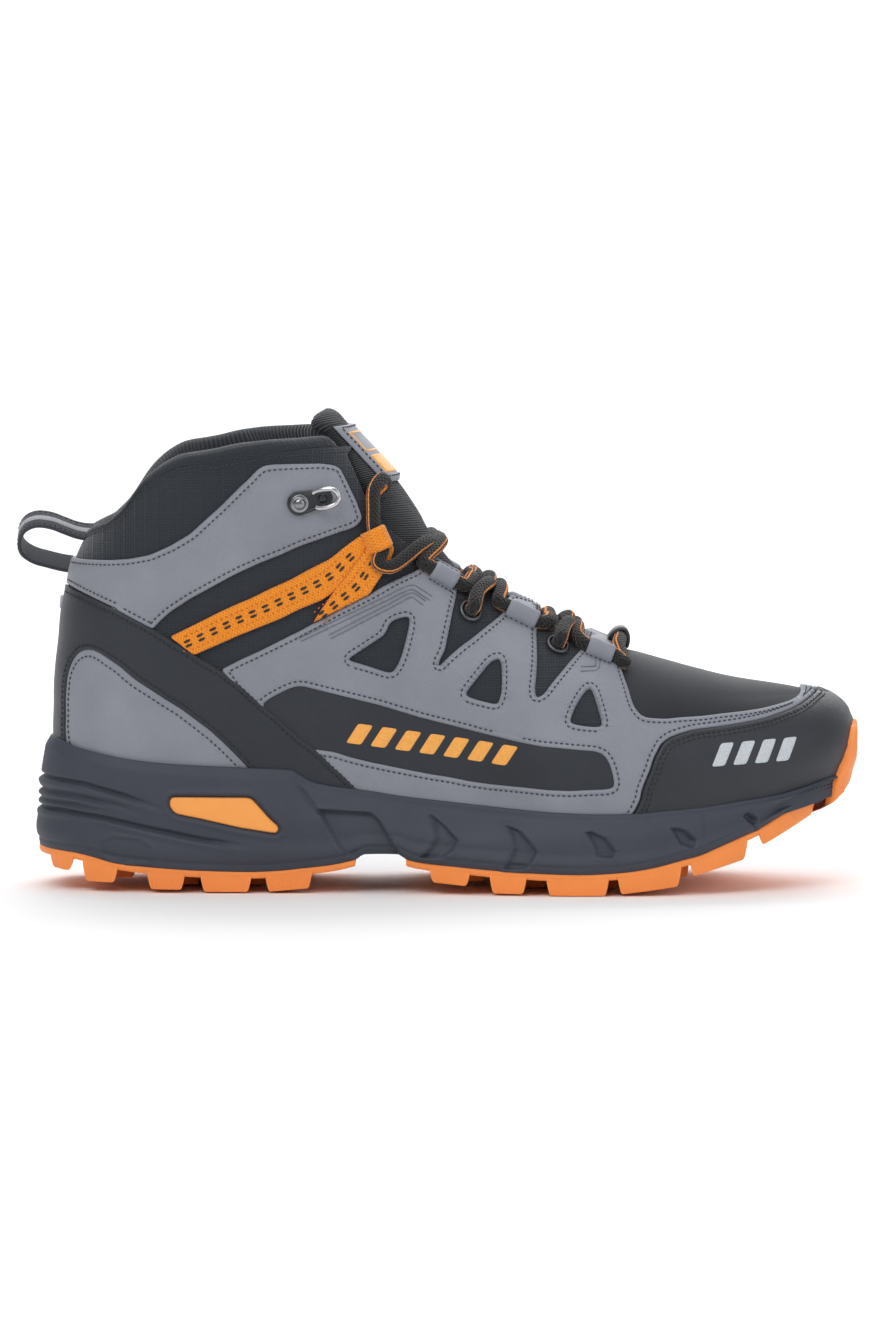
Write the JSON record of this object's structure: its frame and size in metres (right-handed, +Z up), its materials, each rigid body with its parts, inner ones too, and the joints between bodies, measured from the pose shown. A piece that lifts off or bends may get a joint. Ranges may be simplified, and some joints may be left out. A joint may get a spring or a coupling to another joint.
{
  "type": "hiking boot",
  "caption": "Mid-cut lace-up hiking boot, right foot, with lugged outsole, cup midsole, sewn overlays, padded collar, hooks and heel pull loop.",
  "frame": {"origin": "middle of the overall box in plan, on the ground", "axes": "+X towards the toe, +Z up, +Y towards the inner side of the foot (a right boot)"},
  "size_m": [0.3115, 0.109, 0.1759],
  "materials": {
    "midsole_foam": "satin foam",
    "outsole_rubber": "matte moulded rubber",
    "insert_orange": "satin",
    "board": "matte",
    "footbed_textile": "woven",
    "textile_navy": "ripstop weave",
    "synthetic_grey": "coated, fine grain",
    "synthetic_black": "coated, fine grain",
    "stiffener": "matte",
    "lining_knit": "ribbed knit",
    "webbing_orange": "woven webbing",
    "lace_cord": "braid",
    "lace_tip": "gloss",
    "eyelet_metal": "dark enamel",
    "hook_metal": "dark nickel",
    "loop_webbing": "woven webbing",
    "tag_grey": "matte"
  },
  "bodies": {
    "boot": {"heel_insert_lateral": "insert_orange", "quarter_lateral": "textile_navy", "cage_lateral": "synthetic_grey", "side_panel_lateral": "synthetic_black", "ankle_band_lateral": "synthetic_grey", "heel_panel_lateral": "synthetic_grey", "webbing_loop_lateral": "webbing_orange", "eyelet_rear_lateral": "eyelet_metal", "eyelet_front_lateral": "eyelet_metal", "speed_hook_lateral": "hook_metal", "hook_rivet_lateral": "hook_metal", "lace_tip_lateral": "lace_tip", "lace_loop_rear_lateral": "synthetic_grey", "lace_loop_mid_lateral": "synthetic_grey", "lace_loop_front_lateral": "synthetic_grey", "heel_insert_medial": "insert_orange", "quarter_medial": "textile_navy", "cage_medial": "synthetic_grey", "side_panel_medial": "synthetic_black", "ankle_band_medial": "synthetic_grey", "heel_panel_medial": "synthetic_grey", "webbing_loop_medial": "webbing_orange", "eyelet_rear_medial": "eyelet_metal", "eyelet_front_medial": "eyelet_metal", "speed_hook_medial": "hook_metal", "hook_rivet_medial": "hook_metal", "lace_tip_medial": "lace_tip", "lace_loop_rear_medial": "synthetic_grey", "lace_loop_mid_medial": "synthetic_grey", "lace_loop_front_medial": "synthetic_grey", "midsole": "midsole_foam", "outsole_heel": "outsole_rubber", "outsole_forefoot": "outsole_rubber", "insole_board": "board", "vamp": "textile_navy", "heel_counter": "stiffener", "toe_puff": "stiffener", "lining": "lining_knit", "collar_roll": "lining_knit", "tongue_lower": "textile_navy", "heel_strap": "synthetic_black", "toe_cap": "synthetic_black", "lace": "lace_cord", "lace_guide": "synthetic_black", "heel_tag": "tag_grey"},
    "tongue": {"tongue_upper": "textile_navy", "tongue_label": "synthetic_grey"},
    "heel_pull": {"pull_loop": "loop_webbing"},
    "insole": {"footbed": "footbed_textile"}
  },
  "joints": [
    {"name": "tongue_fold", "type": "hinge", "parent": "boot", "child": "tongue", "pos_m": [-0.00992, 0.00049, 0.139], "axis": [0, 1, 0], "range_deg": [-1, 35], "stiffness_Nm_per_rad": 0.15},
    {"name": "pull_loop_swing", "type": "hinge", "parent": "boot", "child": "heel_pull", "pos_m": [-0.13542, 0.00049, 0.1265], "axis": [0, 1, 0], "range_deg": [-6, 25], "stiffness_Nm_per_rad": 0.01},
    {"name": "footbed_lift", "type": "hinge", "parent": "boot", "child": "insole", "pos_m": [0.14258, 0.00049, 0.043], "axis": [0, 1, 0], "range_deg": [0, 5]}
  ]
}
